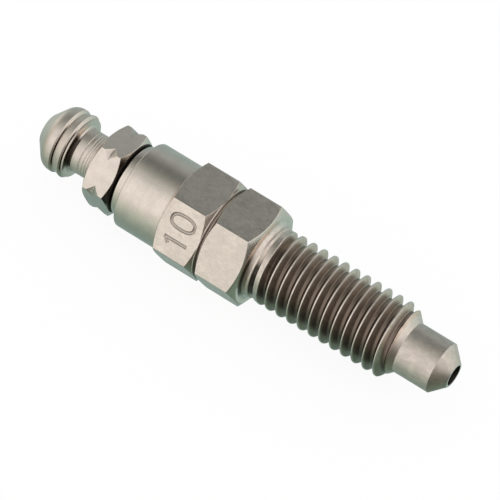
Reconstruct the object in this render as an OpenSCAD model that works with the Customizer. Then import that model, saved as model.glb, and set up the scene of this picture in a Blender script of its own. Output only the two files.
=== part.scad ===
// Two-stage bleeder screw for a hydraulic circuit, M8 x 1.25.
// Axis along X, tip towards +X, origin on the axis where the front hexagon meets the stud.
// The screw lies on the flats of its two large hexagons. All sizes are in millimetres.

/* [Stud] */
// Diameter over the crests of the stud thread
thread_d = 7.93; // [7.76:0.01:7.97]
// Distance from one crest to the next
thread_pitch = 1.25; // [1:0.05:1.5]
// Number of full crests on the stud
thread_turns = 11; // [6:1:14]
// Plain collar between the front hexagon and the thread, diameter
collar_d = 7.62; // [7.2:0.02:7.7]
// Plain collar, length
collar_l = 1.38; // [1:0.02:2.4]
// Fillet between the collar and the front hexagon
collar_fillet = 0.45; // [0.1:0.05:0.8]
// Turned relief between the collar and the first flank
relief_l = 0.42; // [0.2:0.02:1]
// Plain root between the last flank and the shoulder cone
run_out_l = 0.67; // [0.3:0.01:1.5]
// Diameter of the plain tip
tip_d = 5.38; // [4.6:0.02:5.8]
// Length of the plain tip, without its cone
tip_l = 3.85; // [2:0.05:8]
// Diameter of the flat land round the inlet hole
tip_face_d = 2.6; // [2.4:0.05:3.6]
// Half angle of the sealing cone and of the shoulder behind the tip
cone_angle = 45; // [35:1:55]

/* [Large hexagons] */
// Width across flats of both large hexagons
hex_af = 9.95; // [9.8:0.05:11]
// Length of the front hexagon, on the threaded body
front_hex_l = 4.97; // [4:0.01:8]
// Length of the rear hexagon, on the valve housing
rear_hex_l = 4.8; // [3.6:0.05:8]
// Chamfer circle on the hexagon ends, smaller than the width across flats by
hex_face_drop = 0.35; // [0.1:0.05:0.6]
// Angle of the corner chamfers from the end face
hex_chamfer_angle = 30; // [15:1:45]

/* [Valve housing] */
// Outer diameter of the sleeve
sleeve_d = 9.3; // [9:0.05:9.6]
// Length of the sleeve from the rear hexagon to its mouth
sleeve_l = 5.0; // [4.4:0.05:8]
// Chamfer round the mouth of the sleeve
mouth_chamfer = 0.15; // [0.05:0.05:0.3]
// Length of the thread that carries the nipple
nipple_thread_l = 2.4; // [1.6:0.1:4]
// Free length for the stop clip between that thread and the spigot
clip_room_l = 2.25; // [2:0.05:3]

/* [Bleed nipple] */
// Turn of the small hexagon against the large ones, in degrees
nipple_turn = 8.8; // [0:0.2:60]
// Width across flats of the small hexagon
small_hex_af = 7.8; // [7.5:0.05:8.2]
// Length of the small hexagon
small_hex_l = 3.18; // [2.4:0.02:5]
// Root diameter of the V groove round the small hexagon
hex_groove_d = 8.3; // [8.2:0.02:8.6]
// Width of the V groove at the corners of the small hexagon
hex_groove_w = 1.5; // [0.6:0.05:1.8]
// Gap between the small hexagon and the shank collar
hex_gap = 0.27; // [0.2:0.01:1]
// Diameter in that gap
hex_gap_d = 5.4; // [4.8:0.1:6.4]
// Diameter of the shank collar that slides in the sleeve
shank_d = 7.62; // [7:0.02:7.9]
// Length of the shank collar that stands out of the sleeve
shank_show = 0.96; // [0.6:0.01:3]
// Edge break round the shank collar
shank_edge = 0.15; // [0.05:0.05:0.3]
// Diameter of the nipple's thread
nipple_thread_d = 5.92; // [5.6:0.01:6.4]
// Diameter of the neck behind the head
neck_d = 4.76; // [4.2:0.02:5.4]
// Length of the neck
neck_l = 2.9; // [2:0.05:6]
// Diameter of the hose head over its two lips
head_d = 7.0; // [6:0.05:8]
// Length of the rear rib of the hose head
rib_l = 1.46; // [1.2:0.02:3]
// Length of the rounded front of the hose head
nose_l = 2.5; // [2.2:0.02:4]
// Depth of the groove between the two lips
lip_depth = 0.24; // [0.05:0.01:0.4]
// Length of the steep bevel behind each lip
lip_bevel = 0.2; // [0.05:0.01:0.4]
// Plain land between the rear lip and the back of the head
lip_land = 0.18; // [0.05:0.01:0.4]
// Diameter of the flat nose face
nose_face_d = 3.3; // [2.6:0.05:4]
// Half angle of the nose cone
nose_angle = 50; // [40:1:60]
// Radius that blends the nose cone into the head
nose_blend_r = 1.2; // [0.4:0.05:1.5]
// Diameter of the outlet bore
outlet_d = 2.2; // [1.6:0.05:2.4]

/* [Valve inside] */
// Diameter of the inlet passage through the stud
passage_d = 2.05; // [1.6:0.05:2.2]
// Diameter of the ball
ball_d = 3.0; // [2.8:0.05:3.2]
// Diameter of the chamber round the ball and its spring
chamber_d = 3.8; // [3.6:0.05:4]
// Diameter of the spigot that screws into the housing
spigot_d = 6.8; // [6.4:0.05:7]
// Distance from the joint of the hexagons to the end of the passage
ball_seat_depth = 3.75; // [3:0.05:5]
// Outer diameter of the seat bush
bush_d = 4.6; // [4.4:0.05:4.8]
// Length of the seat bush
bush_l = 1.4; // [1.3:0.05:1.8]
// Hole through the seat bush
bush_hole_d = 1.8; // [1.2:0.05:2]
// Rim of the bush round its conical mouth
bush_rim = 0.2; // [0.1:0.05:0.4]
// Diameter of the stem between the nipple's thread and its cone
stem_d = 4.6; // [4.2:0.05:5]
// Flat end of the nipple's sealing cone
stem_tip_d = 2.0; // [1.9:0.05:2.4]
// Cross hole that lets the fluid into the nipple
cross_hole_d = 1.0; // [0.6:0.05:1.1]
// Thickness of the stop clip
clip_t = 0.5; // [0.4:0.05:0.7]
// Outer diameter of the stop clip
clip_d = 6.5; // [6.1:0.05:6.6]
// Diameter of the clip's groove
clip_groove_d = 3.8; // [3.4:0.05:4]
// Width of the slot in the clip
clip_slot_w = 2.6; // [1.5:0.1:3]
// Stem lip between the clip's groove and the cone
stem_lip_l = 0.4; // [0.3:0.05:0.8]
// Wire thickness of the spring
wire_d = 0.2; // [0.15:0.01:0.3]
// Mean diameter of the spring
spring_d = 2.3; // [2:0.05:2.6]
// Number of turns of the spring
spring_turns = 6; // [3:1:7]

/* [Seals] */
// Depth of the ring groove on the nipple's shank
shank_groove_depth = 0.85; // [0.6:0.05:1]
// Width of that groove
shank_groove_w = 1.1; // [0.9:0.05:1.3]
// Distance from the housing's thread to that groove
shank_groove_back = 0.45; // [0.3:0.05:0.8]
// Depth of the ring groove on the spigot
spigot_groove_depth = 0.55; // [0.4:0.05:0.6]
// Width of that groove
spigot_groove_w = 0.9; // [0.8:0.05:1.1]
// Distance from the joint of the hexagons to that groove
spigot_groove_back = 0.3; // [0.2:0.05:0.5]

/* [Clearances] */
// Radial clearance of the shank collar in the sleeve
guide_gap = 0.04; // [0.02:0.01:0.08]
// Radial clearance of the nipple's thread in the housing
thread_gap = 0.04; // [0.02:0.01:0.08]
// Radial clearance of the spigot in the housing
spigot_gap = 0.05; // [0.02:0.01:0.08]
// Clearance of the sealing cone, the ball and the spring from their seats
seat_gap = 0.02; // [0.01:0.01:0.04]
// Room between the end of the shank collar and the step in front of the housing's thread
shank_room = 0.2; // [0.1:0.02:0.3]
// Clearance round the stop clip in its groove
clip_gap = 0.03; // [0.02:0.01:0.06]
// Clearance round the seal rings
seal_gap = 0.02; // [0.01:0.01:0.04]

/* [Hidden] */
$fn = 96;

// Stations along the axis, from the stud back to the nose
joint_x = -front_hex_l;
rear_hex_x = joint_x - rear_hex_l;
mouth_x = rear_hex_x - sleeve_l;
shank_end_x = mouth_x - shank_show;
small_hex_end_x = shank_end_x - hex_gap;
small_hex_x = small_hex_end_x - small_hex_l;
head_back_x = small_hex_x - neck_l;
front_lip_x = head_back_x - rib_l;
nose_x = front_lip_x - nose_l;

// Stations inside the housing: the spigot, the clip's room and the nipple's thread
guide_l = shank_groove_w + 2 * shank_groove_back + shank_room;
spigot_l = rear_hex_l + sleeve_l - guide_l - nipple_thread_l - clip_room_l;
spigot_x = joint_x - spigot_l;
clip_stop_x = spigot_x - clip_room_l;
guide_x = clip_stop_x - nipple_thread_l;

// Stud: the thread's profile is the sharp 60 degree triangle with flat crests and roots
thread_root_r = thread_d / 2 - thread_pitch * 0.6134;
collar_run_l = (collar_d / 2 - thread_root_r) * tan(30);
flank_l = thread_pitch * 5 / 16;
crest_l = thread_pitch / 8;
first_crest_x = collar_l + collar_run_l + relief_l + flank_l + crest_l / 2;
last_crest_x = first_crest_x + (thread_turns - 1) * thread_pitch;
shoulder_x = last_crest_x + crest_l / 2 + flank_l + run_out_l;
tip_x = shoulder_x + (thread_root_r - tip_d / 2) / tan(cone_angle);
tip_cone_x = tip_x + tip_l;
tip_end_x = tip_cone_x + (tip_d - tip_face_d) / 2 / tan(cone_angle);

// Hexagons
small_hex_corner_r = small_hex_af / 2 / cos(30);

// Sealing cone of the nipple and its seat in the bush
seat_mouth_r = bush_d / 2 - bush_rim;
cone_base_x = spigot_x - (stem_d / 2 - seat_mouth_r) - seat_gap;
cone_tip_x = cone_base_x + (stem_d - stem_tip_d) / 2;
clip_groove_x = cone_base_x - stem_lip_l - clip_t - 2 * clip_gap;
bush_end_x = spigot_x + bush_l;

// Ball, held on the edge of its conical seat
passage_end_x = joint_x + ball_seat_depth;
chamber_end_x = passage_end_x - (chamber_d - passage_d) / 2;
ball_x = passage_end_x + passage_d / 2 - (ball_d / 2 + seat_gap) * sqrt(2);
spring_start_x = bush_end_x + seat_gap + wire_d / 2;
spring_end_x = ball_x - sqrt(pow((ball_d + wire_d) / 2 + seat_gap, 2) - pow(spring_d / 2, 2));

// Points of a round stretch of an outline, from one angle to another
function arc(r, x, radius, from, to, steps = 8) =
    [for (i = [0:steps]) let (a = from + (to - from) * i / steps)
        [r + radius * cos(a), x + radius * sin(a)]];

// Outline points are [radius, station], turned round the X axis
module turned(points) {
    rotate([0, 90, 0]) rotate_extrude() polygon(points);
}

module rod(d, from, to) {
    translate([from, 0, 0]) rotate([0, 90, 0]) cylinder(d = d, h = to - from);
}

// Hexagonal bar along X with a flat face down
module hex_bar(af, from, to) {
    translate([from, 0, 0]) rotate([0, 90, 0]) rotate([0, 0, 30])
        cylinder(d = af / cos(30), h = to - from, $fn = 6);
}

// Barrel shape that chamfers the corners of a hexagonal bar at the ends that ask for it
module corner_chamfers(af, from, to, front, rear) {
    face_r = (af - hex_face_drop) / 2;
    over_r = af / 2 / cos(30) + 1;
    slope_l = (over_r - face_r) * tan(hex_chamfer_angle);
    turned([
        [0, from], [rear ? face_r : over_r, from], [over_r, rear ? from + slope_l : from],
        [over_r, front ? to - slope_l : to], [front ? face_r : over_r, to], [0, to]
    ]);
}

// Thread as a row of crests with the true profile
function crest(x) = [
    [thread_root_r, x - crest_l / 2 - flank_l], [thread_d / 2, x - crest_l / 2],
    [thread_d / 2, x + crest_l / 2], [thread_root_r, x + crest_l / 2 + flank_l]
];

// Everything turned on the threaded body in one outline: spigot, core of the hexagon, stud
module turned_body() {
    groove_x = joint_x - spigot_groove_back;
    groove_r = spigot_d / 2 - spigot_groove_depth;
    collar_r = collar_d / 2;
    turned(concat(
        [[0, spigot_x], [spigot_d / 2 - mouth_chamfer, spigot_x], [spigot_d / 2, spigot_x + mouth_chamfer],
            [spigot_d / 2, groove_x - spigot_groove_w], [groove_r, groove_x - spigot_groove_w],
            [groove_r, groove_x], [spigot_d / 2, groove_x], [spigot_d / 2, -collar_fillet]],
        arc(collar_r + collar_fillet, collar_fillet, collar_fillet, 270, 180, 4),
        [[collar_r, collar_l], [thread_root_r, collar_l + collar_run_l]],
        [for (i = [0:thread_turns - 1]) each crest(first_crest_x + i * thread_pitch)],
        [[thread_root_r, shoulder_x], [tip_d / 2, tip_x], [tip_d / 2, tip_cone_x],
            [tip_face_d / 2, tip_end_x], [0, tip_end_x]]
    ));
}

// Stepped bore: seat for the bush, chamber for the ball, cone, inlet passage
module body_bore() {
    over = 1;
    turned([
        [0, spigot_x - over], [bush_d / 2, spigot_x - over], [bush_d / 2, bush_end_x],
        [chamber_d / 2, bush_end_x], [chamber_d / 2, chamber_end_x],
        [passage_d / 2, passage_end_x], [passage_d / 2, tip_end_x + over], [0, tip_end_x + over]
    ]);
}

module threaded_body() {
    color("silver") difference() {
        union() {
            intersection() {
                hex_bar(hex_af, joint_x, 0);
                corner_chamfers(hex_af, joint_x, 0, true, true);
            }
            turned_body();
        }
        body_bore();
    }
}

module valve_housing() {
    over = 1;
    thread_bore_d = nipple_thread_d + 2 * thread_gap;
    guide_bore_r = shank_d / 2 + guide_gap;
    spigot_bore_r = spigot_d / 2 + spigot_gap;
    sleeve_root_x = rear_hex_x + rear_hex_l / 2;
    color("gainsboro") difference() {
        union() {
            intersection() {
                hex_bar(hex_af, rear_hex_x, joint_x);
                corner_chamfers(hex_af, rear_hex_x, joint_x, true, true);
            }
            turned([
                [0, mouth_x], [sleeve_d / 2 - mouth_chamfer, mouth_x],
                [sleeve_d / 2, mouth_x + mouth_chamfer], [sleeve_d / 2, sleeve_root_x], [0, sleeve_root_x]
            ]);
        }
        turned([
            [0, mouth_x - over], [guide_bore_r, mouth_x - over], [guide_bore_r, guide_x],
            [thread_bore_d / 2, guide_x], [thread_bore_d / 2, clip_stop_x],
            [spigot_bore_r, clip_stop_x], [spigot_bore_r, joint_x + over], [0, joint_x + over]
        ]);
    }
}

// Outline of the hose head, from its flat nose to the face above the neck
function head_outline() =
    let (head_r = head_d / 2, slope_a = nose_angle,
        corner_x = nose_x + (head_r - nose_face_d / 2) / tan(slope_a),
        blend_x = corner_x + nose_blend_r * tan(slope_a / 2))
    concat(
        [[0, nose_x], [nose_face_d / 2, nose_x]],
        arc(head_r - nose_blend_r, blend_x, nose_blend_r, -slope_a, 0),
        [[head_r, front_lip_x], [head_r - lip_depth, front_lip_x + lip_bevel],
            [head_r, head_back_x - lip_land - lip_bevel], [head_r - lip_depth, head_back_x - lip_land],
            [head_r - lip_depth, head_back_x]]
    );

// Outline of the shank, from the neck to the sealing cone
function shank_outline() =
    let (groove_r = shank_d / 2 - shank_groove_depth,
        groove_end_x = guide_x - shank_groove_back)
    [
        [neck_d / 2, head_back_x], [neck_d / 2, small_hex_end_x], [hex_gap_d / 2, small_hex_end_x],
        [hex_gap_d / 2, shank_end_x], [shank_d / 2 - shank_edge, shank_end_x],
        [shank_d / 2, shank_end_x + shank_edge], [shank_d / 2, groove_end_x - shank_groove_w],
        [groove_r, groove_end_x - shank_groove_w], [groove_r, groove_end_x],
        [shank_d / 2, groove_end_x], [shank_d / 2, guide_x - shank_room], [nipple_thread_d / 2, guide_x - shank_room],
        [nipple_thread_d / 2, clip_stop_x], [stem_d / 2, clip_stop_x],
        [stem_d / 2, clip_groove_x], [clip_groove_d / 2, clip_groove_x],
        [clip_groove_d / 2, cone_base_x - stem_lip_l], [stem_d / 2, cone_base_x - stem_lip_l],
        [stem_d / 2, cone_base_x], [stem_tip_d / 2, cone_tip_x], [0, cone_tip_x]
    ];

module small_hex() {
    groove_x = (small_hex_x + small_hex_end_x) / 2;
    groove_r = hex_groove_d / 2;
    over = 0.5;
    over_w = hex_groove_w / 2 * (small_hex_corner_r + over - groove_r) / (small_hex_corner_r - groove_r);
    difference() {
        intersection() {
            hex_bar(small_hex_af, small_hex_x, small_hex_end_x);
            corner_chamfers(small_hex_af, small_hex_x, small_hex_end_x, true, true);
        }
        turned([
            [groove_r, groove_x], [small_hex_corner_r + over, groove_x - over_w],
            [small_hex_corner_r + over, groove_x + over_w]
        ]);
    }
}

module bleed_nipple() {
    over = 1;
    cross_x = (clip_stop_x + clip_groove_x) / 2;
    color("lightgray") rotate([-nipple_turn, 0, 0]) difference() {
        union() {
            turned(concat(head_outline(), shank_outline()));
            small_hex();
        }
        rod(outlet_d, nose_x - over, cross_x);
        translate([cross_x, 0, 0]) cylinder(d = cross_hole_d, h = stem_d + over, center = true);
    }
}

module stop_clip() {
    inner_r = clip_groove_d / 2 + clip_gap;
    start_x = clip_groove_x + clip_gap;
    color("darkgray") difference() {
        turned([[inner_r, start_x], [clip_d / 2, start_x], [clip_d / 2, start_x + clip_t],
            [inner_r, start_x + clip_t]]);
        translate([start_x - clip_t, -clip_slot_w / 2, 0]) cube([3 * clip_t, clip_slot_w, clip_d]);
    }
}

// Rubber ring between two walls, at rest just clear of both
module seal_ring(inner_r, outer_r, x) {
    ring_r = (outer_r - inner_r) / 2 - seal_gap;
    translate([x, 0, 0]) rotate([0, 90, 0]) rotate_extrude()
        translate([(inner_r + outer_r) / 2, 0]) circle(r = ring_r, $fn = 32);
}

module shank_seal() {
    color("dimgray") seal_ring(shank_d / 2 - shank_groove_depth, shank_d / 2 + guide_gap,
        guide_x - shank_groove_back - shank_groove_w / 2);
}

module body_seal() {
    color("dimgray") seal_ring(spigot_d / 2 - spigot_groove_depth, spigot_d / 2 + spigot_gap,
        joint_x - spigot_groove_back - spigot_groove_w / 2);
}

module seat_bush() {
    mouth_l = seat_mouth_r - bush_hole_d / 2;
    color("goldenrod") turned([
        [bush_hole_d / 2, spigot_x + mouth_l], [seat_mouth_r, spigot_x], [bush_d / 2, spigot_x],
        [bush_d / 2, bush_end_x], [bush_hole_d / 2, bush_end_x]
    ]);
}

module check_ball() {
    color("whitesmoke") translate([ball_x, 0, 0]) sphere(d = ball_d);
}

// Wire swept along a helix: rings of points joined by faces, closed at both ends
module coil(d, wire, from, to, turns) {
    sides = 8;
    steps = 16 * turns;
    points = [for (i = [0:steps], j = [0:sides - 1])
        let (a = 360 * turns * i / steps, b = 360 * j / sides, r = d / 2 + wire / 2 * cos(b))
            [from + (to - from) * i / steps + wire / 2 * sin(b), r * cos(a), r * sin(a)]];
    walls = [for (i = [0:steps - 1], j = [0:sides - 1])
        let (k = (j + 1) % sides, p = i * sides)
            each [[p + j, p + k, p + sides + k], [p + j, p + sides + k, p + sides + j]]];
    start = [[for (j = [0:sides - 1]) sides - 1 - j]];
    end = [[for (j = [0:sides - 1]) steps * sides + j]];
    polyhedron(points, concat(walls, start, end));
}

module check_spring() {
    color("silver") coil(spring_d, wire_d, spring_start_x, spring_end_x, spring_turns);
}

threaded_body();
valve_housing();
bleed_nipple();
stop_clip();
shank_seal();
body_seal();
seat_bush();
check_ball();
check_spring();
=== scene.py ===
import math

import bmesh
import bpy
import numpy as np
from mathutils import Matrix, Vector


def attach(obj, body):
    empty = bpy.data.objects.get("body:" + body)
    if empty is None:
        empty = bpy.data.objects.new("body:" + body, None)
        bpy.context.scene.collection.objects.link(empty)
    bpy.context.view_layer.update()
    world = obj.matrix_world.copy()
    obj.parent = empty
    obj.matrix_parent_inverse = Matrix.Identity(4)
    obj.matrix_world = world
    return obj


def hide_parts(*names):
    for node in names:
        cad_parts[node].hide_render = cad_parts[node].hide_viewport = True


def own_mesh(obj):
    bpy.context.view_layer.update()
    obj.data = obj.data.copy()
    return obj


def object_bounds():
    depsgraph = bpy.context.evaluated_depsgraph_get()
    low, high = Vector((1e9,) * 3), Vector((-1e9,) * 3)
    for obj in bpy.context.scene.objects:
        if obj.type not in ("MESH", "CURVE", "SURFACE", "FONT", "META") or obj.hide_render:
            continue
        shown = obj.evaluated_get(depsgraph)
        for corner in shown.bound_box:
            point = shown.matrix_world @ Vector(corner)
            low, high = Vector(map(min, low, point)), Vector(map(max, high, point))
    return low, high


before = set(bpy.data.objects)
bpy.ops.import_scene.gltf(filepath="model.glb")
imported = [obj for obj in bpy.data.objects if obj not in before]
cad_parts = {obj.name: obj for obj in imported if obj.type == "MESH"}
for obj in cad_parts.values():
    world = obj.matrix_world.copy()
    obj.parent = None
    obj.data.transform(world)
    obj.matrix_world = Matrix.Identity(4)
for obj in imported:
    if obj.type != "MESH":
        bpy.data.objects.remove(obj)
cad_low, cad_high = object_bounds()
MM = 0.001

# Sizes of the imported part, in millimetres
FRONT_HEX_L, REAR_HEX_L, SLEEVE_L, SHANK_SHOW, HEX_GAP = 4.97, 4.8, 5.0, 0.96, 0.27
SMALL_HEX_L, NECK_L, RIB_L, NOSE_L = 3.18, 2.9, 1.46, 2.5
HEX_AF, SMALL_AF, FACE_DROP = 9.95, 7.8, 0.35
PITCH, CREST_R, ROOT_R, COLLAR_R, TIP_R = 1.25, 3.945, 3.19, 3.83, 2.69
SLEEVE_R, SHANK_R, NECK_R, HEAD_R, NOSE_R = 4.65, 3.81, 2.38, 3.5, 1.65
OUTLET_R, PASSAGE_R, INLET_R = 1.1, 1.025, 1.3

# Inside: spigot, bush and spring chamber of the threaded body, bores of the housing, stem of the nipple
SPIGOT_R, SPIGOT_BEVEL, BUSH_R, CHAMBER_R = 3.4, 0.15, 2.3, 1.9
BODY_SEAL_IN, BODY_SEAL_W, BODY_SEAL_R = 0.3, 0.9, 2.85
HOUSING_BORE_R, GUIDE_R, CLEARANCE = 3.45, 3.0, 0.04
STEM_R, CONE_L, CONE_END_R, CLIP_IN, CLIP_W, CLIP_R = 2.3, 1.3, 1.0, 0.4, 0.56, 1.9
SHANK_SEAL_W, CROSS_HOLE_R, GAP_R = 1.1, 0.5, 2.7

# Fine forms: lips of the head, fillet at the collar, rims at the joint, V groove and neck rings
LIP_DEPTH, LIP_BEVEL, LIP_LAND = 0.27, 0.24, 0.16
COLLAR_FILLET, CORNER_R, NOSE_BLEND, NOSE_SLOPE = 0.64, 0.12, 1.35, math.radians(50)
RIM_INSET, FRONT_RIM_L, REAR_RIM_L, RIM_WALL = 0.115, 0.2, 0.13, 0.4
GROOVE_R, GROOVE_HALF, GROOVE_FLAT = 4.15, 0.75, 0.09
NECK_RINGS, RING_HALF, RING_DEPTH = (-19.51, -19.82, -20.07, -20.38, -20.83), 0.07, 0.035

# Stations along the axis: from the hexagons back to the nose, inside, and at the tip
JOINT_X = -FRONT_HEX_L
REAR_X = JOINT_X - REAR_HEX_L
MOUTH_X = REAR_X - SLEEVE_L
SHANK_END_X = MOUTH_X - SHANK_SHOW
HEX_END_X = SHANK_END_X - HEX_GAP
HEX_X = HEX_END_X - SMALL_HEX_L
HEAD_X = HEX_X - NECK_L
LIP_X = HEAD_X - RIB_L
NOSE_X = LIP_X - NOSE_L
SPIGOT_X, CLIP_STOP_X, GUIDE_X = JOINT_X - 2.95, JOINT_X - 5.2, JOINT_X - 7.6
BUSH_END_X, SEAT_X = SPIGOT_X + 1.4, JOINT_X + 3.75
CONE_X, SHANK_X, SHANK_SEAL_X = SPIGOT_X - 0.22, GUIDE_X - 0.2, GUIDE_X - 0.45
CLIP_X = CONE_X - CLIP_IN
CROSS_X = (CLIP_STOP_X + CLIP_X - CLIP_W) / 2
TIP_X, TIP_CONE_X, TIP_END_X = 16.769, 20.619, 22.009

# Angles in degrees run round the axis from +Y to +Z; a hexagon's turn is the middle of one of its flats
HEX_TURN, SMALL_TURN = 30.0, 8.8
COLUMN_STEP = 3.0
CORNER_COLUMNS = (0, 0.15, 0.3, 0.45, 0.6, 0.9, 1.4, 2.2)
GROOVE_COLUMNS = (5, 7, 8.4, 9.3, 9.8, 10.4, 11.2)

# Thread: a crest's middle on the +Y side, depths of the run-in at its stations, the stretch where the crests
# rise from the collar, and the stretch where the first one is broad
CREST_AT = 2.204
RUN_IN = ((0.65, 0.0), (0.76, 0.13), (1.05, 0.22), (1.8, COLLAR_R - ROOT_R))
CREST_RISE, BROAD_CREST, BROAD_LAND = (1.2, 1.9), (1.7, 2.5), 0.16
PROFILE_STEP = 0.11

# Generic size mark on the rear hexagon
MARK_X, MARK_GAP, MARK_H, MARK_W, STROKE_R, STROKE_DEPTH = -7.33, 2.05, 2.6, 1.45, 0.2, 0.14
MARK_ANGLE = math.radians(30)


def hexagon(phi, af, turn):
    """Radius of a hexagon with rounded corners at each angle, of its end face, and its chamfer's reach."""
    d = np.radians((phi - turn) % 60.0 - 30.0)
    flat = af / 2 / np.cos(np.radians(30) - np.abs(d))
    centre = (af / 2 - CORNER_R) / math.cos(math.radians(30))
    reach = CORNER_R ** 2 - (centre * np.sin(d)) ** 2
    limit = math.atan2(CORNER_R * 0.5, centre + CORNER_R * math.cos(math.radians(30)))
    round_r = centre * np.cos(d) + np.sqrt(np.maximum(reach, 0))
    radius = np.where(np.abs(d) < limit, round_r, flat)
    face = (af - FACE_DROP) / 2
    return radius, face, (radius - face) * math.tan(math.radians(30))


def column_angles(turn, extra=()):
    """Angles of the columns in degrees, closer together at the corners of a hexagon."""
    phi = set(np.round(np.arange(0, 360, COLUMN_STEP), 4))
    for k in range(6):
        c = turn + 30 + 60 * k
        phi -= {p for p in phi if abs((p - c + 180) % 360 - 180) < COLUMN_STEP / 2 + 0.1}
        for d in CORNER_COLUMNS + extra:
            phi.add(round((c + d) % 360, 4))
            phi.add(round((c - d) % 360, 4))
    return np.array(sorted(phi))


def rounded(keys, phi, closed):
    """Columns of points from keys (x, r, slot) or, at a rounded corner, (x, r, slot, fillet, segments).

    x and r may vary with the angle. A slot holds from its key to the next one. A fillet is cut short
    where the next key is near.
    """
    keys = [(*key, 0, 0)[:5] for key in keys]
    one = np.ones(len(phi))
    pts = [np.stack([one * x, one * r], 1) for x, r, *_ in keys]
    out, slots = [], []
    for i, (_, _, slot, fillet, segments) in enumerate(keys):
        b = pts[i]
        if fillet == 0 or (not closed and i in (0, len(pts) - 1)):
            out.append(b)
            slots.append(slot)
            continue
        a, c = pts[i - 1], pts[(i + 1) % len(pts)]
        u, w = a - b, c - b
        lu = np.maximum(np.linalg.norm(u, axis=1), 1e-9)[:, None]
        lw = np.maximum(np.linalg.norm(w, axis=1), 1e-9)[:, None]
        u, w = u / lu, w / lw
        turn = np.pi - np.arccos(np.clip((u * w).sum(1), -1, 1))
        t = np.minimum(fillet * np.tan(turn / 2), 0.45 * np.minimum(lu[:, 0], lw[:, 0]))[:, None]
        for s in np.linspace(0, 1, segments + 1):
            out.append((1 - s) ** 2 * (b + u * t) + 2 * s * (1 - s) * b + s * s * (b + w * t))
            slots.append(slot)
    return out, slots


def new_object(name, verts, faces):
    mesh = bpy.data.meshes.new(name)
    mesh.from_pydata(verts, [], faces)
    obj = bpy.data.objects.new(name, mesh)
    bpy.context.scene.collection.objects.link(obj)
    return obj


def lathe(name, phi, columns, slots, closed, band=None):
    """Mesh of revolution from columns of (x, r). band = (first, count, shift) is a helical stretch."""
    p = np.array(columns)
    k, m = p.shape[0], p.shape[1]
    a = np.radians(phi)
    co = np.stack([p[:, :, 0], p[:, :, 1] * np.cos(a), p[:, :, 1] * np.sin(a)], 2) * MM
    index = np.arange(k * m).reshape(k, m).tolist()
    faces, mats = [], []
    for i in range(k if closed else k - 1):
        here, after = index[i], index[(i + 1) % k]
        for j in range(m - 1):
            faces.append((here[j], after[j], after[j + 1], here[j + 1]))
            mats.append(slots[i])
        if band and band[0] <= i < band[0] + band[1] - 1:
            continue
        faces.append((here[m - 1], after[m - 1], after[0], here[0]))
        mats.append(slots[i])
    if band:
        first, count, shift = band
        for i in range(first, first + count - shift - 1):
            faces.append((index[i][m - 1], index[i + 1][m - 1], index[i + 1 + shift][0], index[i + shift][0]))
            mats.append(slots[i])
    obj = new_object(name, co.reshape(-1, 3).tolist(), faces)
    obj.data.polygons.foreach_set("material_index", np.array(mats, np.int32))
    for mat in steels:
        obj.data.materials.append(mat)
    bm = bmesh.new()
    bm.from_mesh(obj.data)
    bmesh.ops.remove_doubles(bm, verts=bm.verts, dist=2e-7)
    bmesh.ops.dissolve_degenerate(bm, edges=bm.edges, dist=1e-8)
    bmesh.ops.recalc_face_normals(bm, faces=bm.faces)
    bm.to_mesh(obj.data)
    bm.free()
    return obj


def smooth(obj):
    obj.data.polygons.foreach_set("use_smooth", np.ones(len(obj.data.polygons), bool))
    obj.data.set_sharp_from_angle(angle=math.radians(32))
    w = obj.modifiers.new("weighted", "WEIGHTED_NORMAL")
    w.keep_sharp = True
    w.weight = 60


def cut(obj, cutter):
    b = obj.modifiers.new("cut", "BOOLEAN")
    b.operation = "DIFFERENCE"
    b.solver = "MANIFOLD"
    b.object = cutter
    bpy.context.view_layer.update()
    depsgraph = bpy.context.evaluated_depsgraph_get()
    obj.data = bpy.data.meshes.new_from_object(obj.evaluated_get(depsgraph))
    obj.modifiers.clear()
    bpy.data.objects.remove(cutter)


def tube(path, radius, closed, up, sides):
    """Vertices and faces of a round bar along a path, in metres."""
    n = len(path)
    verts, faces = [], []
    for i, p in enumerate(path):
        a = path[i - 1] if closed or i else p
        c = path[(i + 1) % n] if closed or i < n - 1 else p
        side = (c - a).normalized().cross(up).normalized()
        for j in range(sides):
            w = 2 * math.pi * j / sides
            verts.append((p + radius * (math.cos(w) * side + math.sin(w) * up)) * MM)
    for i in range(n if closed else n - 1):
        for j in range(sides):
            k, q = (j + 1) % sides, (i + 1) % n
            faces.append((i * sides + j, i * sides + k, q * sides + k, q * sides + j))
    if not closed:
        faces.append(tuple(range(sides - 1, -1, -1)))
        faces.append(tuple((n - 1) * sides + j for j in range(sides)))
    return verts, faces


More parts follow.
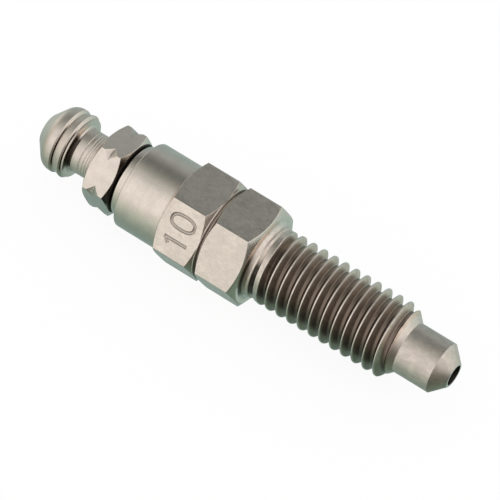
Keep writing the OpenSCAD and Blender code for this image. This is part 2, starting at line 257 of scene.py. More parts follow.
# Materials: every node tree is procedural, in object coordinates scaled to millimetres
class Tree:
    def __init__(self, name):
        self.mat = bpy.data.materials.new(name)
        self.mat.use_nodes = True
        self.t = self.mat.node_tree
        self.shader = self.t.nodes["Principled BSDF"]
        coords = self.t.nodes.new("ShaderNodeTexCoord")
        scale = self.t.nodes.new("ShaderNodeVectorMath")
        scale.operation = "SCALE"
        scale.inputs["Scale"].default_value = 1 / MM
        self.link(coords.outputs["Object"], scale.inputs[0])
        self.mm = scale.outputs[0]
        split = self.t.nodes.new("ShaderNodeSeparateXYZ")
        self.link(self.mm, split.inputs[0])
        self.x, self.y, self.z = split.outputs
        facing = self.t.nodes.new("ShaderNodeSeparateXYZ")
        self.link(coords.outputs["Normal"], facing.inputs[0])
        self.normal_x = facing.outputs[0]

    def link(self, a, b):
        self.t.links.new(a, b)

    def put(self, value, socket):
        """Set a socket to a number or a colour, or join it to another node."""
        if isinstance(value, (int, float)):
            socket.default_value = value
        elif isinstance(value, tuple):
            socket.default_value = (*value, 1)
        else:
            self.link(value, socket)

    def math(self, op, a, b=0.0):
        n = self.t.nodes.new("ShaderNodeMath")
        n.operation = op
        self.put(a, n.inputs[0])
        self.put(b, n.inputs[1])
        return n.outputs[0]

    def product(self, first, *others):
        for other in others:
            first = self.math("MULTIPLY", first, other)
        return first

    def step(self, value, low, high):
        """0 below low and 1 above high, smooth between."""
        n = self.t.nodes.new("ShaderNodeMapRange")
        n.interpolation_type = "SMOOTHSTEP"
        for name, v in (("Value", value), ("From Min", low), ("From Max", high)):
            self.put(v, n.inputs[name])
        return n.outputs[0]

    def vector(self, x, y=0.0, z=0.0):
        n = self.t.nodes.new("ShaderNodeCombineXYZ")
        for i, v in enumerate((x, y, z)):
            self.put(v, n.inputs[i])
        return n.outputs[0]

    def stretched(self, x, across):
        """Coordinates scaled by one factor along the axis and by another across it."""
        return self.vector(self.product(self.x, x), self.product(self.y, across), self.product(self.z, across))

    def noise(self, vector, scale, detail=2.0, rough=0.5):
        n = self.t.nodes.new("ShaderNodeTexNoise")
        n.inputs["Scale"].default_value = scale
        n.inputs["Detail"].default_value = detail
        n.inputs["Roughness"].default_value = rough
        self.link(vector, n.inputs["Vector"])
        return n.outputs["Fac"]

    def ramp(self, fac, *stops):
        n = self.t.nodes.new("ShaderNodeValToRGB")
        r = n.color_ramp
        while len(r.elements) < len(stops):
            r.elements.new(0.5)
        for e, (pos, v) in zip(r.elements, stops):
            e.position = pos
            e.color = (*v, 1) if isinstance(v, tuple) else (v, v, v, 1)
        self.link(fac, n.inputs["Fac"])
        return n.outputs["Color"]

    def mix(self, fac, a, b):
        n = self.t.nodes.new("ShaderNodeMix")
        n.data_type = "RGBA"
        self.put(fac, n.inputs[0])
        first, second = [i for i in n.inputs if i.type == "RGBA"]
        self.put(a, first)
        self.put(b, second)
        return [o for o in n.outputs if o.type == "RGBA"][0]

    def patches(self, noise, low, high, share, colour, patch):
        """The colour with patches laid over it where the noise is low."""
        return self.mix(self.ramp(noise, (low, share), (high, 0.0)), colour, patch)

    def bump(self, height, distance, strength):
        n = self.t.nodes.new("ShaderNodeBump")
        n.inputs["Strength"].default_value = strength
        n.inputs["Distance"].default_value = distance
        self.link(height, n.inputs["Height"])
        return n.outputs[0]

    def radius(self):
        return self.math("SQRT", self.math("ADD", self.product(self.y, self.y), self.product(self.z, self.z)))

    def front(self):
        """1 on the side that faces -Y and -1 behind."""
        return self.math("DIVIDE", self.product(self.y, -1.0), self.radius())

    def height(self):
        """1 on top and -1 underneath."""
        return self.math("DIVIDE", self.z, self.radius())

    def metal(self, colour, roughness, normal=None):
        self.put(colour, self.shader.inputs["Base Color"])
        self.shader.inputs["Metallic"].default_value = 1
        self.put(roughness, self.shader.inputs["Roughness"])
        if normal is not None:
            self.link(normal, self.shader.inputs["Normal"])
        return self.mat


def shade(colour, share):
    return tuple(c * share for c in colour)


# Colours, and the stations in millimetres between which a look changes
STEEL = (0.88, 0.77, 0.68)
# Painted shade: the thread's root, rear-flank, underside and lee colours, the collar's corner colour and the head's
# corner colour
THREAD_ROOT, THREAD_FLANK = (0.235, 0.175, 0.138), (0.88, 0.71, 0.59)
THREAD_REAR_FLANK_SHADE, THREAD_UNDER_SHADE, THREAD_LEE_SHADE = (0.12, 0.095, 0.075), (0.08, 0.07, 0.055), (0.02, 0.016, 0.013)
COLLAR_SHADE, CORNER_SHADE, CHAMFER_BROWN = (0.04, 0.033, 0.027), (0.045, 0.036, 0.028), (0.55, 0.44, 0.36)
WORN_TIP, DULL_HEAD = (16.2, 16.9), (-18.7, -19.2)
REAR_FLATS, SMALL_FLATS = (-4.6, -5.2), (-13.0, -14.0)
THREAD_LOW_R, THREAD_RISE = 3.15, 0.8
COLLAR_PLAIN, COLLAR_LOW, COLLAR_LOW_R, COLLAR_FACE = (1.75, 1.3), (1.3, 1.15), (3.8, 3.74), (0.2, 0.1)


def turned_steel(name, rough=0.27):
    """Lathe-turned surface: fine rings along the axis, a little colour and gloss variation."""
    t = Tree(name)
    ring = t.noise(t.vector(t.x), 9.0, 3.0, 0.65)
    slow = t.noise(t.stretched(1.0, 0.25), 1.1)
    blotch = t.noise(t.mm, 1.3, 3.0, 0.6)
    speckle = t.noise(t.stretched(0.5, 1.0), 2.6, 3.0, 0.6)
    colour = t.mix(t.ramp(slow, (0.3, 0.0), (0.7, 1.0)), shade(STEEL, 0.9), STEEL)
    colour = t.patches(blotch, 0.36, 0.56, 0.6, colour, shade(STEEL, 0.84))
    colour = t.patches(ring, 0.3, 0.5, 1.0, colour, shade(STEEL, 0.84))
    worn = t.ramp(speckle, (0.36, 0.95), (0.62, 0.2))
    colour = t.mix(t.product(t.step(t.x, *WORN_TIP), worn), colour, shade(STEEL, 0.74))
    t.shader.inputs["Anisotropic"].default_value = 0.55
    tangent = t.t.nodes.new("ShaderNodeTangent")
    tangent.direction_type = "RADIAL"
    tangent.axis = "X"
    t.link(tangent.outputs[0], t.shader.inputs["Tangent"])
    ends = t.math("ADD", t.step(t.x, *WORN_TIP), t.step(t.x, *DULL_HEAD))
    dull = t.math("ADD", t.ramp(ring, (0.25, rough + 0.08), (0.75, rough - 0.04)), t.product(ends, 0.1))
    return t.metal(colour, dull, t.bump(ring, 1.2e-5, 0.35))


def flat_steel(name, rough=0.33):
    """Drawn hexagon flat: soft mottling and a fine grain, a little lighter on the rear hexagon."""
    t = Tree(name)
    grain = t.noise(t.mm, 5.5, 3.0, 0.6)
    cloud = t.noise(t.mm, 0.6)
    blotch = t.noise(t.mm, 1.9, 3.0, 0.6)
    base = shade(STEEL, 1.04)
    colour = t.mix(t.step(t.x, *REAR_FLATS), base, shade(base, 1.05))
    colour = t.mix(t.step(t.x, *SMALL_FLATS), colour, shade(base, 0.95))
    colour = t.patches(cloud, 0.35, 0.65, 0.1, colour, (0.0, 0.0, 0.0))
    colour = t.patches(blotch, 0.35, 0.58, 0.6, colour, shade(base, 0.88))
    colour = t.patches(grain, 0.32, 0.55, 0.45, colour, shade(base, 0.84))
    relief = t.math("ADD", blotch, t.product(grain, 0.22))
    return t.metal(colour, t.ramp(blotch, (0.3, rough + 0.08), (0.7, rough - 0.03)), t.bump(relief, 5.5e-5, 0.5))


def thread_steel(name, rough=0.3):
    """Thread and collar: bright crests, with painted shade in the brown roots, on the flanks that face the hexagon,
    underneath and in the collar's corner, and a painted light band in the roots on top.
    """
    t = Tree(name)
    depth = t.math("DIVIDE", t.math("SUBTRACT", t.radius(), THREAD_LOW_R), THREAD_RISE)
    front, height = t.front(), t.height()
    cloud = t.noise(t.mm, 1.6, 3.0)
    streak = t.noise(t.stretched(3.0, 0.6), 3.0, 3.0)

    # Painted shade: everything but the flanks that face the tip starts in the dark root colour; the crests go back
    # to plain steel below
    colour = t.mix(t.step(t.normal_x, 0.25, 0.75), THREAD_ROOT, THREAD_FLANK)
    # Painted light: a lighter band in the roots near the top
    light = t.product(t.step(t.normal_x, -0.02, -0.2), t.step(height, 0.75, 0.97), 0.75)
    colour = t.mix(light, colour, shade(STEEL, 0.8))
    # Painted shade on the flanks that face the hexagon
    colour = t.mix(t.product(t.step(t.normal_x, -0.2, -0.5), 0.6), colour, THREAD_REAR_FLANK_SHADE)
    # Painted shade underneath
    colour = t.mix(t.product(t.step(height, 0.5, -0.1), 0.55), colour, THREAD_UNDER_SHADE)
    colour = t.mix(t.ramp(depth, (0.84, 0.0), (0.93, 1.0)), colour, STEEL)
    # Painted shade: near black on the front of the flanks that face the hexagon
    lee_shade = t.product(t.step(t.normal_x, -0.25, -0.5), t.step(front, -0.1, 0.25), t.step(height, -0.6, -0.3), 0.95)
    colour = t.mix(lee_shade, colour, THREAD_LEE_SHADE)

    # The collar is plain steel, without the thread's painted shade
    colour = t.mix(t.step(t.x, *COLLAR_PLAIN), colour, STEEL)
    # Painted shade: near black in the collar's corner and run-in grooves on the front side
    run_in = t.product(t.step(t.x, *COLLAR_LOW), t.step(t.radius(), *COLLAR_LOW_R))
    corner = t.math("MAXIMUM", run_in, t.step(t.x, *COLLAR_FACE))
    shade_mask = t.product(t.step(front, 0.2, 0.5), t.step(height, -0.5, -0.2), t.step(height, 0.85, 0.6), corner, 0.94)
    colour = t.mix(shade_mask, colour, COLLAR_SHADE)
    colour = t.patches(cloud, 0.3, 0.65, 0.3, colour, shade(STEEL, 0.35))

    smear = t.ramp(cloud, (0.3, 0.1), (0.7, 0.0))
    dull = t.math("ADD", smear, t.ramp(depth, (0.8, rough + 0.06), (0.95, rough - 0.02)))
    return t.metal(colour, dull, t.bump(streak, 8e-6, 0.3))


def face_steel(name, rough=0.2):
    """Turned end face: rings round the axis."""
    t = Tree(name)
    ring = t.noise(t.vector(t.radius()), 8.0, 3.0, 0.6)
    colour = t.patches(ring, 0.3, 0.55, 1.0, STEEL, shade(STEEL, 0.85))
    return t.metal(colour, t.ramp(ring, (0.25, rough + 0.08), (0.75, rough - 0.03)), t.bump(ring, 1e-5, 0.35))


def shaded_steel(name, rough=0.25):
    """Corner with painted shade: near black on its front and upper side."""
    t = Tree(name)
    shade_mask = t.product(t.step(t.front(), 0.12, 0.42), t.step(t.height(), -0.3, -0.02), 0.96)
    cloud = t.noise(t.mm, 2.0, 3.0)
    colour = t.mix(shade_mask, shade(STEEL, 0.9), CORNER_SHADE)
    return t.metal(colour, t.ramp(cloud, (0.3, rough + 0.08), (0.7, rough - 0.03)), t.bump(cloud, 5e-6, 0.25))


def chamfer_steel(name, rough=0.36):
    """Hexagon chamfer beside its neighbour, a little browner: a painted reflection of the dark gap beside it."""
    t = Tree(name)
    cloud = t.noise(t.mm, 1.8, 3.0)
    colour = t.patches(cloud, 0.35, 0.6, 0.5, shade(STEEL, 0.84), CHAMFER_BROWN)
    return t.metal(colour, rough, t.bump(cloud, 5e-6, 0.25))


def bored_steel(name, light, rough):
    """Inside surfaces: turning lines in dull steel, darkened to the given share as painted shade where bores, gaps
    and grooves show.
    """
    t = Tree(name)
    ring = t.noise(t.vector(t.x), 7.0, 3.0, 0.6)
    colour = t.mix(t.ramp(ring, (0.3, 0.0), (0.7, 1.0)), shade(STEEL, 0.75 * light), shade(STEEL, light))
    return t.metal(colour, rough, t.bump(ring, 1.5e-5, 0.4))


def plain_metal(name, base, rough, grain=6.0):
    t = Tree(name)
    n = t.noise(t.mm, grain, 3.0)
    colour = t.mix(t.ramp(n, (0.3, 0.0), (0.7, 1.0)), shade(base, 0.85), base)
    return t.metal(colour, t.ramp(n, (0.3, rough + 0.08), (0.7, rough)))


def rubber(name):
    t = Tree(name)
    n = t.noise(t.mm, 9.0, 4.0)
    t.put(t.mix(n, (0.012, 0.012, 0.013), (0.03, 0.03, 0.032)), t.shader.inputs["Base Color"])
    t.put(t.ramp(n, (0.3, 0.62), (0.7, 0.5)), t.shader.inputs["Roughness"])
    t.put(t.bump(n, 6e-6, 0.4), t.shader.inputs["Normal"])
    return t.mat


TURNED, FLAT, THREAD, FACE, INNER, BORE, SHADED, CHAMFER, MARK = range(9)
steels = [
    turned_steel("steel_turned"), flat_steel("steel_flat"), thread_steel("steel_thread"), face_steel("steel_face"),
    bored_steel("steel_inner", 0.5, 0.45), bored_steel("steel_bore", 0.1, 0.6), shaded_steel("steel_shaded"),
    chamfer_steel("steel_chamfer"), plain_metal("steel_mark", shade(STEEL, 0.72), 0.38)]


# Threaded body: spigot, front hexagon, collar, helical thread, tip
def thread_profile():
    """One pitch of the thread as offsets from the crest's middle and radii, with rounded crest and root."""
    half, flank, crest = PITCH / 2, PITCH * 5 / 16, PITCH * 0.055
    keys = [
        (-half, ROOT_R, THREAD), (-crest - flank, ROOT_R, THREAD, 0.16, 4), (-crest, CREST_R, THREAD, 0.05, 3),
        (crest, CREST_R, THREAD, 0.05, 3), (crest + flank, ROOT_R, THREAD, 0.16, 4), (half, ROOT_R, THREAD)]
    pts, _ = rounded(keys, np.zeros(1), False)
    line = np.array([p[0] for p in pts])
    out = [line[0]]
    for a, b in zip(line[:-1], line[1:]):
        n = max(1, int(round(np.linalg.norm(b - a) / PROFILE_STEP)))
        out += [a + (b - a) * s for s in np.linspace(0, 1, n + 1)[1:]]
    return np.array(out)


def thread_band(phi, x0, x1):
    """Columns of the helical thread between two stations, and how many of them make one pitch."""
    prof = thread_profile()
    v, rv = prof[:-1, 0], prof[:-1, 1]
    n = len(v)
    start = CREST_AT + PITCH * math.floor((x0 - CREST_AT - PITCH / 2) / PITCH) - PITCH
    while start + v[0] + PITCH <= x0:
        start += PITCH
    turns = int(math.ceil((x1 - start) / PITCH)) + 2
    cols = []
    for k in range(-1, turns):
        for i in range(n):
            x = start + PITCH * (phi / 360.0) + k * PITCH + v[i]
            xc = np.clip(x, x0, x1)
            off = (xc - CREST_AT - PITCH * phi / 360.0 + PITCH / 2) % PITCH - PITCH / 2
            land = np.interp(xc, BROAD_CREST, (BROAD_LAND, 0.0))
            wide = np.interp(np.maximum(np.abs(off) - land, 0.0), prof[:, 0], prof[:, 1])
            r = np.where((x < x0) | (x > x1) | (land > 0), wide, rv[i])
            r = np.maximum(r, COLLAR_R - np.interp(xc, *zip(*RUN_IN)))
            top = np.interp(xc, CREST_RISE, (COLLAR_R, CREST_R))
            r = np.minimum(np.minimum(r, top), TIP_R + (TIP_X - xc))
            cols.append(np.stack([xc, r], 1))
    return cols, n


def threaded_body():
    phi = column_angles(HEX_TURN)
    rh, face, drop = hexagon(phi, HEX_AF, HEX_TURN)
    seal_x, rim_r = JOINT_X - BODY_SEAL_IN, face - RIM_INSET
    x0, x1 = RUN_IN[0][0], TIP_X - (ROOT_R - TIP_R)
    spigot = [
        (SPIGOT_X, BUSH_R, INNER), (SPIGOT_X, SPIGOT_R - SPIGOT_BEVEL, INNER),
        (SPIGOT_X + SPIGOT_BEVEL, SPIGOT_R, INNER), (seal_x - BODY_SEAL_W, SPIGOT_R, INNER),
        (seal_x - BODY_SEAL_W, BODY_SEAL_R, INNER),
        (seal_x, BODY_SEAL_R, INNER), (seal_x, SPIGOT_R, INNER), (JOINT_X, SPIGOT_R, FACE)]
    front_hex = [
        (JOINT_X + 0.03, face - RIM_WALL, BORE), (JOINT_X + 0.01, rim_r, TURNED, 0.02, 2),
        (JOINT_X + FRONT_RIM_L, rim_r, INNER, 0.02, 2), (JOINT_X + drop + FRONT_RIM_L, rh, FLAT, 0.05, 3),
        (-drop, rh, TURNED, 0.07, 3), (0, face, FACE, 0.05, 3)]
    collar = [
        (COLLAR_FILLET * (1 - math.cos(w)), COLLAR_R + COLLAR_FILLET * (1 - math.sin(w)), THREAD)
        for w in np.linspace(0, math.pi / 2, 11)[:-1]]
    head, head_slots = rounded(spigot + front_hex + collar + [(x0, COLLAR_R, THREAD)], phi, False)
    band, n = thread_band(phi, x0, x1)
    tip = [
        (x1, ROOT_R, TURNED), (TIP_X, TIP_R, TURNED, 0.08, 3), (TIP_CONE_X, TIP_R, TURNED, 0.04, 3),
        (TIP_END_X, INLET_R, FACE, 0.05, 3), (TIP_END_X, PASSAGE_R, BORE, 0.08, 3)]
    passage = [
        (SEAT_X, PASSAGE_R, INNER), (SEAT_X - (CHAMBER_R - PASSAGE_R), CHAMBER_R, INNER),
        (BUSH_END_X, CHAMBER_R, INNER), (BUSH_END_X, BUSH_R, INNER), (SPIGOT_X, BUSH_R, INNER)]
    tail, tail_slots = rounded(tip + passage, phi, False)
    slots = head_slots + [THREAD] * len(band) + tail_slots[:-1]
    obj = lathe("stud_body", phi, head + band + tail[:-1], slots, True, band=(len(head), len(band), n))
    smooth(obj)
    return obj


# Valve housing: rear hexagon and sleeve, with the size mark
def size_mark():
    """Cutters for the mark's strokes, drawn in (reading direction, glyph height)."""
    out = Vector((0, -math.cos(MARK_ANGLE), math.sin(MARK_ANGLE)))
    read = Vector((0, math.sin(MARK_ANGLE), math.cos(MARK_ANGLE)))
    stem = [(0, MARK_H / 2), (0, 0), (0, -MARK_H / 2)]
    flag = [(-0.36 * MARK_W, 0.27 * MARK_H), (-0.2 * MARK_W, 0.36 * MARK_H), (0.02, 0.48 * MARK_H)]
    zero = []
    for i in range(40):
        w = 2 * math.pi * i / 40
        c, s = math.cos(w), math.sin(w)
        zero.append((MARK_W / 2 * math.copysign(abs(c) ** 0.8, c), MARK_H / 2 * math.copysign(abs(s) ** 0.8, s)))
    lift = (HEX_AF / 2 + STROKE_R - STROKE_DEPTH) * out
    strokes = ((-MARK_GAP / 2, stem, False), (-MARK_GAP / 2, flag, False), (MARK_GAP / 2, zero, True))
    cutters = []
    for shift, glyph, closed in strokes:
        path = [Vector((MARK_X - b, 0, 0)) + (a + shift) * read + lift for a, b in glyph]
        mark = new_object("mark_cutter", *tube(path, STROKE_R, closed, out, 14))
        bm = bmesh.new()
        bm.from_mesh(mark.data)
        bmesh.ops.recalc_face_normals(bm, faces=bm.faces)
        bm.to_mesh(mark.data)
        bm.free()
        cutters.append(mark)
    return cutters


def housing():
    phi = column_angles(HEX_TURN)
    rh, face, drop = hexagon(phi, HEX_AF, HEX_TURN)
    sleeve_keys = [
        (MOUTH_X + 0.18, SHANK_R + CLEARANCE, BORE), (MOUTH_X, SHANK_R + 0.13, FACE, 0.02, 2),
        (MOUTH_X, SLEEVE_R, TURNED, 0.17, 4), (REAR_X, SLEEVE_R, FACE, 0.03, 2)]
    rear_hex = [
        (REAR_X, face, TURNED, 0.05, 3), (REAR_X + drop, rh, FLAT, 0.07, 3), (JOINT_X - drop, rh, CHAMFER, 0.05, 3),
        (JOINT_X - REAR_RIM_L, face + 0.19, TURNED, 0.02, 2), (JOINT_X - 0.02, face + 0.18, INNER, 0.02, 2),
        (JOINT_X, face - RIM_WALL, FACE)]
    bores = [
        (JOINT_X, HOUSING_BORE_R, INNER), (CLIP_STOP_X, HOUSING_BORE_R, INNER), (CLIP_STOP_X, GUIDE_R, INNER),
        (GUIDE_X, GUIDE_R, INNER), (GUIDE_X, SHANK_R + CLEARANCE, INNER)]
    cols, slots = rounded(sleeve_keys + rear_hex + bores, phi, True)
    obj = lathe("valve_sleeve", phi, cols, slots, True)
    for cutter in size_mark():
        cut(obj, cutter)
    for f in obj.data.polygons:
        c = f.center / MM
        depth = HEX_AF / 2 - (math.sin(MARK_ANGLE) * c.z - math.cos(MARK_ANGLE) * c.y)
        if abs(c.x - MARK_X) < MARK_H and 0.02 < depth < STROKE_DEPTH + 0.02:
            f.material_index = MARK
    smooth(obj)
    return obj


# Bleed nipple: inner cone and stem, shank, small hexagon with its V groove, neck and hose head
def stem_and_shank():
    thread_r = GUIDE_R - CLEARANCE
    seal_end = SHANK_SEAL_X - SHANK_SEAL_W
    return [
        (CONE_X + CONE_L, 0.0, INNER), (CONE_X + CONE_L, CONE_END_R, INNER), (CONE_X, STEM_R, INNER),
        (CLIP_X, STEM_R, INNER), (CLIP_X, CLIP_R, INNER), (CLIP_X - CLIP_W, CLIP_R, INNER),
        (CLIP_X - CLIP_W, STEM_R, INNER),
        (CLIP_STOP_X, STEM_R, INNER), (CLIP_STOP_X, thread_r, INNER), (SHANK_X, thread_r, INNER),
        (SHANK_X, SHANK_R, INNER), (SHANK_SEAL_X, SHANK_R, INNER), (SHANK_SEAL_X, thread_r, INNER),
        # Painted shade: a dark band on the shank at the sleeve's mouth, and the darkest bore steel on the shank's
        # end and in the gap to the hexagon
        (seal_end, thread_r, INNER), (seal_end, SHANK_R, TURNED), (MOUTH_X + 0.1, SHANK_R, SHADED),
        (MOUTH_X - 0.13, SHANK_R, TURNED), (SHANK_END_X, SHANK_R, FACE, 0.2, 5), (SHANK_END_X, 3.4, BORE),
        (SHANK_END_X, GAP_R, BORE, 0.04, 2), (HEX_END_X, GAP_R, BORE, 0.04, 2)]


def small_hexagon(phi, turn):
    rh, face, drop = hexagon(phi, SMALL_AF, turn)
    corner_r = SMALL_AF / 2 / math.cos(math.radians(30))
    middle = (HEX_X + HEX_END_X) / 2
    half = np.maximum(rh - GROOVE_R, 0) * GROOVE_HALF / (corner_r - GROOVE_R)
    low, flat = np.minimum(rh, GROOVE_R), GROOVE_FLAT * half
    return [
        # Painted shade: the darkest bore steel on the end face by the gap, a dark front and upper side on the
        # chamfer beside it, and darker inner steel on the V groove's floor
        (HEX_END_X, face, BORE, 0.05, 3), (HEX_END_X - 0.075, face + 0.13, SHADED),
        (HEX_END_X - drop - 0.02, rh, FLAT, 0.04, 3), (middle + half, rh, TURNED, 0.03, 2),
        (middle + flat, low, INNER), (middle - flat, low, TURNED), (middle - half, rh, FLAT, 0.03, 2),
        (HEX_X + drop, rh, TURNED, 0.06, 3), (HEX_X, face, FACE, 0.05, 3)]


def neck():
    keys = [(HEX_X, NECK_R, TURNED, 0.1, 3)]
    for x in NECK_RINGS:
        keys += [
            (x + RING_HALF, NECK_R, TURNED, 0.05, 2), (x, NECK_R - RING_DEPTH, TURNED, 0.05, 2),
            (x - RING_HALF, NECK_R, TURNED, 0.05, 2)]
    return keys


def hose_head():
    low_r, mid_r = HEAD_R - LIP_DEPTH, HEAD_R - 0.55 * LIP_DEPTH
    land_x = HEAD_X - LIP_LAND
    keys = [
        # Painted shade: a dark front and upper side on the neck's corner and the head's back face, and on the inner
        # part of each lip's bevel
        (HEAD_X, NECK_R, SHADED, 0.42, 6), (HEAD_X, low_r, TURNED, 0.03, 2), (land_x, low_r, SHADED),
        (land_x - 0.45 * LIP_BEVEL, mid_r, TURNED), (land_x - LIP_BEVEL, HEAD_R, TURNED, 0.05, 3),
        (LIP_X + LIP_BEVEL, low_r, SHADED), (LIP_X + 0.55 * LIP_BEVEL, mid_r, TURNED),
        (LIP_X, HEAD_R, TURNED, 0.05, 3)]
    bx = NOSE_X + (HEAD_R - NOSE_R) / math.tan(NOSE_SLOPE) + NOSE_BLEND * math.tan(NOSE_SLOPE / 2)
    for a in np.linspace(0, NOSE_SLOPE, 11):
        keys.append((bx - NOSE_BLEND * math.sin(a), HEAD_R - NOSE_BLEND + NOSE_BLEND * math.cos(a), TURNED))
    return keys + [
        (NOSE_X, NOSE_R, FACE, 0.2, 4), (NOSE_X, OUTLET_R, BORE, 0.06, 3), (CROSS_X, OUTLET_R, BORE),
        (CROSS_X, 0.0, BORE)]


def nipple():
    turn = HEX_TURN - SMALL_TURN
    phi = column_angles(turn, GROOVE_COLUMNS)
    cols, slots = rounded(stem_and_shank() + small_hexagon(phi, turn) + neck() + hose_head(), phi, False)
    obj = lathe("nipple_shank", phi, cols, slots, False)
    e = math.radians(SMALL_TURN)
    middle, reach = Vector((CROSS_X, 0, 0)), 2.8 * Vector((0, math.sin(e), math.cos(e)))
    hole = tube([middle - reach, middle + reach], CROSS_HOLE_R, False, Vector((1, 0, 0)), 24)
    cut(obj, new_object("hole_cutter", *hole))
    smooth(obj)
    return obj


for piece, owner, node in (
        (threaded_body(), "valve_body", "threaded_body"), (housing(), "valve_body", "valve_housing"),
        (nipple(), "nipple", "bleed_nipple")):
    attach(piece, owner)
    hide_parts(node)

# Inner pieces keep their solids' shapes and get materials of their own
inner = {
    "stop_clip": plain_metal("clip_steel", (0.55, 0.53, 0.5), 0.3),
    "shank_seal": rubber("seal_rubber_shank"),
    "body_seal": rubber("seal_rubber_body"),
    "seat_bush": plain_metal("bush_steel", (0.6, 0.56, 0.5), 0.35),
    "check_ball": plain_metal("ball_chrome", (0.8, 0.8, 0.8), 0.12, 2.0),
    "check_spring": plain_metal("spring_wire", (0.6, 0.58, 0.55), 0.28)}
for name, mat in inner.items():
    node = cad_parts[name]
    node.data.materials.clear()
    node.data.materials.append(mat)


def squeezed_spring():
    """A copy of the ball's spring, carried on the valve body in place of the hidden solid."""
    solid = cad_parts["check_spring"]
    coil = bpy.data.objects.new("valve_spring", solid.data.copy())
    bpy.context.scene.collection.objects.link(coil)
    coil.matrix_world = solid.matrix_world.copy()
    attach(coil, "valve_body")
    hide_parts("check_spring")
    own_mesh(coil)


squeezed_spring()

# Camera at the photograph's viewing angle; distances in millimetres, focal length and picture width in pixels
AIM, DISTANCE, RISE = Vector((-1.69, 0, 0)), 320, 0.116
VIEW_E, VIEW_TILT, VIEW_ROLL = math.radians(53.8), math.radians(17.2), math.radians(31.36)
FOCAL_PX, PHOTO_PX, SENSOR = 3302, 500, 36


def photo_camera():
    side = Vector((1, 0, 0))
    out = Vector((0, -math.cos(VIEW_E), math.sin(VIEW_E)))
    across = Vector((0, out.z, -out.y))
    view = math.sin(VIEW_TILT) * side + math.cos(VIEW_TILT) * out
    along = math.cos(VIEW_TILT) * side - math.sin(VIEW_TILT) * out
    right = math.cos(VIEW_ROLL) * along + math.sin(VIEW_ROLL) * across
    up = -math.sin(VIEW_ROLL) * along + math.cos(VIEW_ROLL) * across
    data = bpy.data.cameras.new("camera")
    data.lens = FOCAL_PX / PHOTO_PX * SENSOR
    data.sensor_width = SENSOR
    data.clip_start = 0.01
    data.clip_end = 10
    cam = bpy.data.objects.new("camera", data)
    bpy.context.scene.collection.objects.link(cam)
    place = Matrix.Translation((AIM + DISTANCE * view + RISE * up) * MM)
    cam.matrix_world = place @ Matrix((right, up, view)).transposed().to_4x4()
    bpy.context.scene.camera = cam


# Floor and studio: a pale floor under a white sky, and a tent that only the metal reflects, sizes in metres
FLOOR_REACH, TENT_REACH, TENT_SIDES, TENT_RINGS = 3, 0.6, 96, 48
FLOOR_WHITE = 0.93
AHEAD_FROM, REAR_FROM = (-0.02, 0.26), (-0.72, -0.97)

# Tent colours by direction round the X axis: 0 is straight down, 0.25 the front horizon, 0.5 the zenith
ROUND = (
    (0.0, (0.26, 0.385, 0.38)), (0.08, (0.24, 0.34, 0.295)), (0.14, (0.325, 0.42, 0.37)),
    (0.195, (0.52, 0.61, 0.54)), (0.24, (0.74, 0.76, 0.72)), (0.285, (1.0, 1.0, 1.0)), (0.38, (1.0, 1.0, 1.0)),
    (0.45, (0.66, 0.69, 0.67)), (0.5, (0.36, 0.39, 0.37)), (0.54, (0.135, 0.15, 0.14)), (0.6, (0.1, 0.125, 0.128)),
    (0.63, (0.3, 0.33, 0.33)), (0.67, (0.42, 0.46, 0.465)), (0.75, (0.33, 0.44, 0.44)), (0.9, (0.43, 0.55, 0.53)),
    (1.0, (0.26, 0.385, 0.38)))
AHEAD = (
    (0.0, (0.17, 0.265, 0.21)), (0.06, (0.125, 0.175, 0.135)), (0.14, (0.08, 0.08, 0.055)),
    (0.22, (0.09, 0.08, 0.06)), (0.3, (0.36, 0.35, 0.34)), (0.4, (0.72, 0.7, 0.68)), (0.5, (1.0, 1.0, 0.99)),
    (0.6, (1.0, 1.0, 1.0)), (0.68, (0.85, 0.9, 0.88)), (0.76, (0.6, 0.7, 0.69)), (0.84, (0.44, 0.58, 0.56)),
    (0.9, (0.4, 0.53, 0.5)), (0.96, (0.2, 0.32, 0.27)), (1.0, (0.17, 0.265, 0.21)))
REAR = (
    (0.0, (0.3, 0.4, 0.38)), (0.25, (0.58, 0.57, 0.5)), (0.42, (0.66, 0.64, 0.57)), (0.56, (0.68, 0.68, 0.62)),
    (0.67, (0.97, 0.98, 0.98)), (0.78, (0.88, 0.92, 0.92)), (0.9, (0.5, 0.6, 0.58)), (1.0, (0.3, 0.4, 0.38)))


def white_sky():
    world = bpy.data.worlds.new("studio")
    bpy.context.scene.world = world
    world.use_nodes = True
    background = world.node_tree.nodes["Background"]
    background.inputs["Color"].default_value = (1, 1, 1, 1)
    background.inputs["Strength"].default_value = 1.0


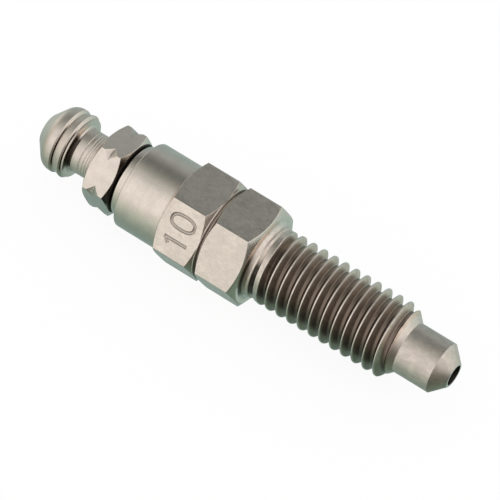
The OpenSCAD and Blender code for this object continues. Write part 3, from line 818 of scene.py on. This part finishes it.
def floor():
    z, d = cad_low[2], FLOOR_REACH
    o = new_object("floor", [(-d, -d, z), (d, -d, z), (d, d, z), (-d, d, z)], [(0, 1, 2, 3)])
    t = Tree("floor_paper")
    t.put(t.mix(t.noise(t.mm, 0.02), (0.97, 0.97, 0.97), (0.98, 0.98, 0.98)), t.shader.inputs["Base Color"])
    t.shader.inputs["Roughness"].default_value = 0.9
    t.shader.inputs["Specular IOR Level"].default_value = 0.0
    rays = t.t.nodes.new("ShaderNodeLightPath")
    white = t.t.nodes.new("ShaderNodeEmission")
    white.inputs["Color"].default_value = (1, 1, 1, 1)
    white.inputs["Strength"].default_value = 1.0
    blend = t.t.nodes.new("ShaderNodeMixShader")
    t.put(t.product(rays.outputs["Is Camera Ray"], FLOOR_WHITE), blend.inputs[0])
    t.link(t.shader.outputs[0], blend.inputs[1])
    t.link(white.outputs[0], blend.inputs[2])
    t.link(blend.outputs[0], t.t.nodes["Material Output"].inputs["Surface"])
    o.data.materials.append(t.mat)
    o.visible_glossy = False


def tent():
    """Studio tent seen only in reflections: bright in front, a dark gap overhead, teal behind and below."""
    n, m = TENT_SIDES, TENT_RINGS
    verts, faces = [], []
    for i in range(m + 1):
        a = math.pi * i / m
        ring = TENT_REACH * math.sin(a)
        for j in range(n):
            p = 2 * math.pi * j / n
            verts.append((TENT_REACH * math.cos(a), -ring * math.cos(p), ring * math.sin(p)))
    for i in range(m):
        for j in range(n):
            faces.append((i * n + j, i * n + (j + 1) % n, (i + 1) * n + (j + 1) % n, (i + 1) * n + j))
    o = new_object("tent", verts, faces)
    t = Tree("tent_panels")
    t.t.nodes.remove(t.shader)
    glow = t.t.nodes.new("ShaderNodeEmission")
    t.link(glow.outputs[0], t.t.nodes["Material Output"].inputs["Surface"])
    dx = t.math("DIVIDE", t.x, TENT_REACH / MM)
    angle = t.math("DEGREES", t.math("ARCTAN2", t.z, t.product(t.y, -1.0)))
    fac = t.math("DIVIDE", t.math("MODULO", t.math("ADD", angle, 450.0), 360.0), 360.0)
    colour = t.mix(t.step(dx, *AHEAD_FROM), t.ramp(fac, *ROUND), t.ramp(fac, *AHEAD))
    colour = t.mix(t.step(dx, *REAR_FROM), colour, t.ramp(fac, *REAR))
    t.link(colour, glow.inputs["Color"])
    glow.inputs["Strength"].default_value = 1.0
    o.data.materials.append(t.mat)
    o.visible_camera = o.visible_diffuse = o.visible_shadow = o.visible_transmission = False
    o.visible_volume_scatter = False


photo_camera()
white_sky()
floor()
tent()
bpy.context.scene.view_settings.view_transform = "Standard"
